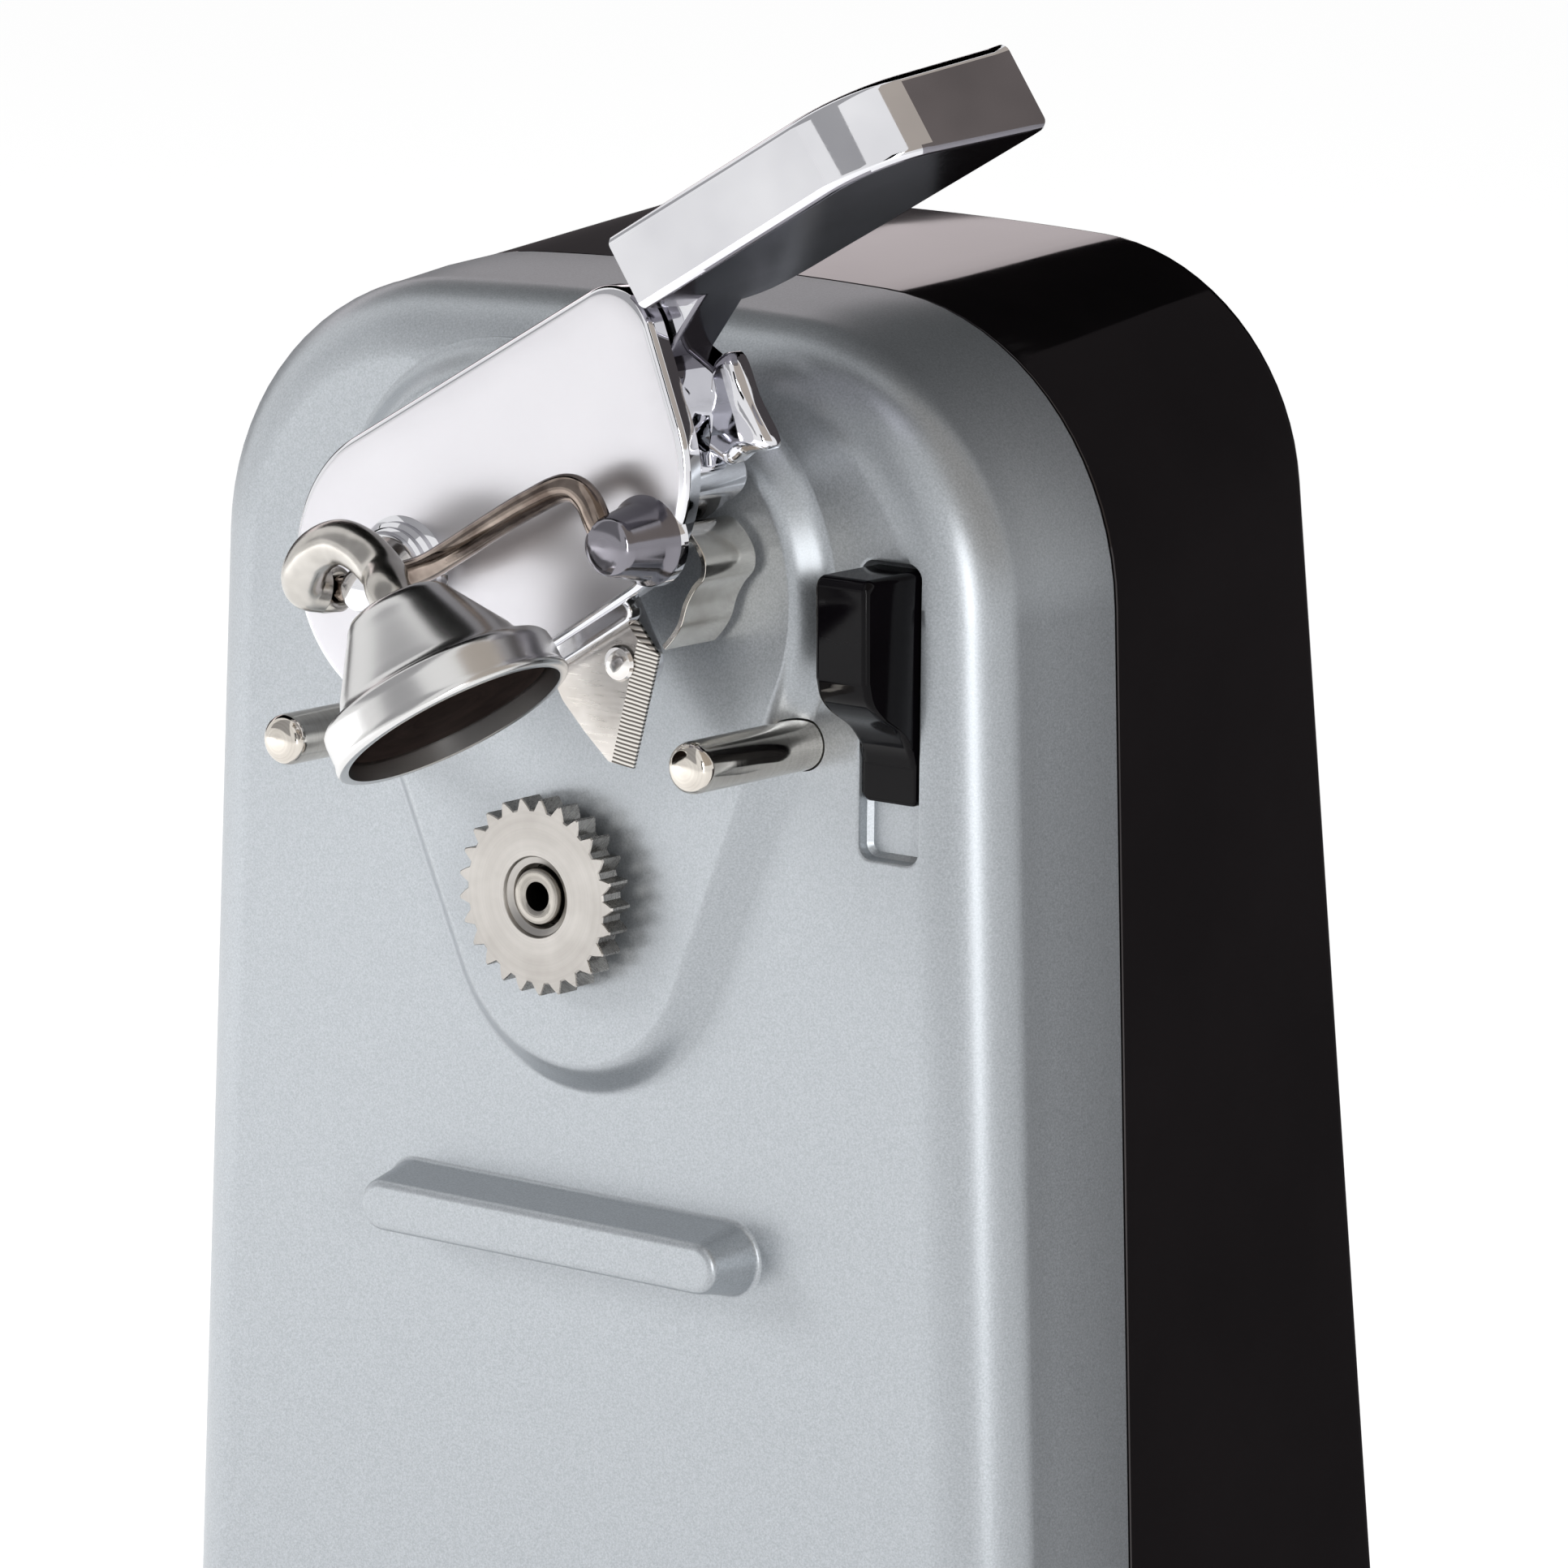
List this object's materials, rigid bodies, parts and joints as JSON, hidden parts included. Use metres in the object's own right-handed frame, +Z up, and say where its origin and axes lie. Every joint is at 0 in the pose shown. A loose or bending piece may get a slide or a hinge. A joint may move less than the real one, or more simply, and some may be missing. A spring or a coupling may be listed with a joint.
{
  "type": "electric can opener",
  "caption": "Electric can opener: upright split body, lift-up cutting lever with blade and swinging magnet cup, toothed drive wheel, guide pins, can ledge and slide switch.",
  "frame": {"origin": "middle of the bounding box, on the surface the feet stand on", "axes": "+Z up, the front with the drive wheel faces -Y, +X to the right as seen from the front"},
  "size_m": [0.1178, 0.1202, 0.2434],
  "materials": {
    "silver_cover": "satin metallic silver paint with a fine grain",
    "black_shell": "high gloss black",
    "black_plastic": "satin black",
    "rubber": "matt black",
    "chrome": "polished chrome plating",
    "steel": "machined steel",
    "spring_steel": "bright stainless strip",
    "nickel": "bright nickel plating",
    "zinc": "zinc plated",
    "brass": "sintered bronze",
    "copper": "enamelled copper winding",
    "nylon": "natural nylon",
    "magnet": "dark ferrite"
  },
  "bodies": {
    "housing": {"front_cover": "silver_cover", "rear_shell": "black_shell", "base_plate": "black_plastic", "cord_gland": "rubber", "foot_1": "rubber", "foot_2": "rubber", "foot_3": "rubber", "foot_4": "rubber", "base_screw_1": "zinc", "base_screw_2": "zinc", "base_screw_3": "zinc", "base_screw_4": "zinc", "front_frame": "zinc", "rear_frame": "zinc", "frame_post_1": "zinc", "frame_post_2": "zinc", "frame_post_3": "zinc", "frame_post_4": "zinc", "frame_screw_1": "zinc", "frame_screw_2": "zinc", "frame_screw_3": "zinc", "frame_screw_4": "zinc", "guide_pin_right": "nickel", "guide_pin_left": "nickel", "shaft_bushing": "brass", "gear_b_pin": "steel", "gear_a_pin": "steel", "stator_core": "steel", "field_coil": "copper", "motor_bracket": "zinc", "motor_screw_1": "zinc", "motor_screw_2": "zinc", "switch_body": "black_plastic"},
    "slider": {"switch_slider": "black_plastic"},
    "plunger": {"switch_plunger": "nylon"},
    "lever_arm": {"lever": "chrome", "lever_stud": "steel", "stud_clip": "steel", "leaf_spring": "spring_steel", "spring_rivet": "steel", "blade": "steel", "blade_rivet": "steel", "magnet_wire": "nickel"},
    "magnet": {"magnet_hook": "spring_steel", "magnet_cup": "chrome", "magnet_disc": "magnet"},
    "drive": {"drive_shaft": "steel", "drive_wheel": "steel", "output_gear": "steel"},
    "second_gear": {"gear_b": "nylon"},
    "first_gear": {"gear_a": "nylon"},
    "rotor": {"rotor_shaft": "steel", "rotor_core": "steel"}
  },
  "joints": [
    {"name": "lever_pivot", "type": "hinge", "parent": "housing", "child": "lever_arm", "pos_m": [-0.0049, -0.01674, 0.19], "axis": [0, 1, 0], "range_deg": [0, 35]},
    {"name": "magnet_swing", "type": "hinge", "parent": "lever_arm", "child": "magnet", "pos_m": [-0.01348, -0.03794, 0.18622], "axis": [-0.9824, 0, -0.1869], "range_deg": [0, 30]},
    {"name": "slider_slide", "type": "slide", "parent": "housing", "child": "slider", "axis": [0, 0, -1], "range_m": [0, 0.0042], "stiffness_N_per_m": 300, "springref_m": -0.002},
    {"name": "plunger_slide", "type": "slide", "parent": "housing", "child": "plunger", "axis": [0, 0, -1], "range_m": [0, 0.0042]},
    {"name": "rotor_spin", "type": "hinge", "parent": "housing", "child": "rotor", "pos_m": [0.0061, -0.01674, 0.0879], "axis": [0, 1, 0], "continuous": true},
    {"name": "first_gear_spin", "type": "hinge", "parent": "housing", "child": "first_gear", "pos_m": [-0.0009, -0.01674, 0.1095], "axis": [0, 1, 0], "continuous": true},
    {"name": "second_gear_spin", "type": "hinge", "parent": "housing", "child": "second_gear", "pos_m": [-0.0109, -0.01674, 0.1297], "axis": [0, 1, 0], "continuous": true},
    {"name": "drive_spin", "type": "hinge", "parent": "housing", "child": "drive", "pos_m": [0.0011, -0.01674, 0.155], "axis": [0, 1, 0], "continuous": true}
  ],
  "couplings": [
    {"joint": "plunger_slide", "follows": "slider_slide", "ratio": 1},
    {"joint": "first_gear_spin", "follows": "rotor_spin", "ratio": -0.16071},
    {"joint": "second_gear_spin", "follows": "rotor_spin", "ratio": 0.040179},
    {"joint": "drive_spin", "follows": "rotor_spin", "ratio": -0.0087345}
  ]
}
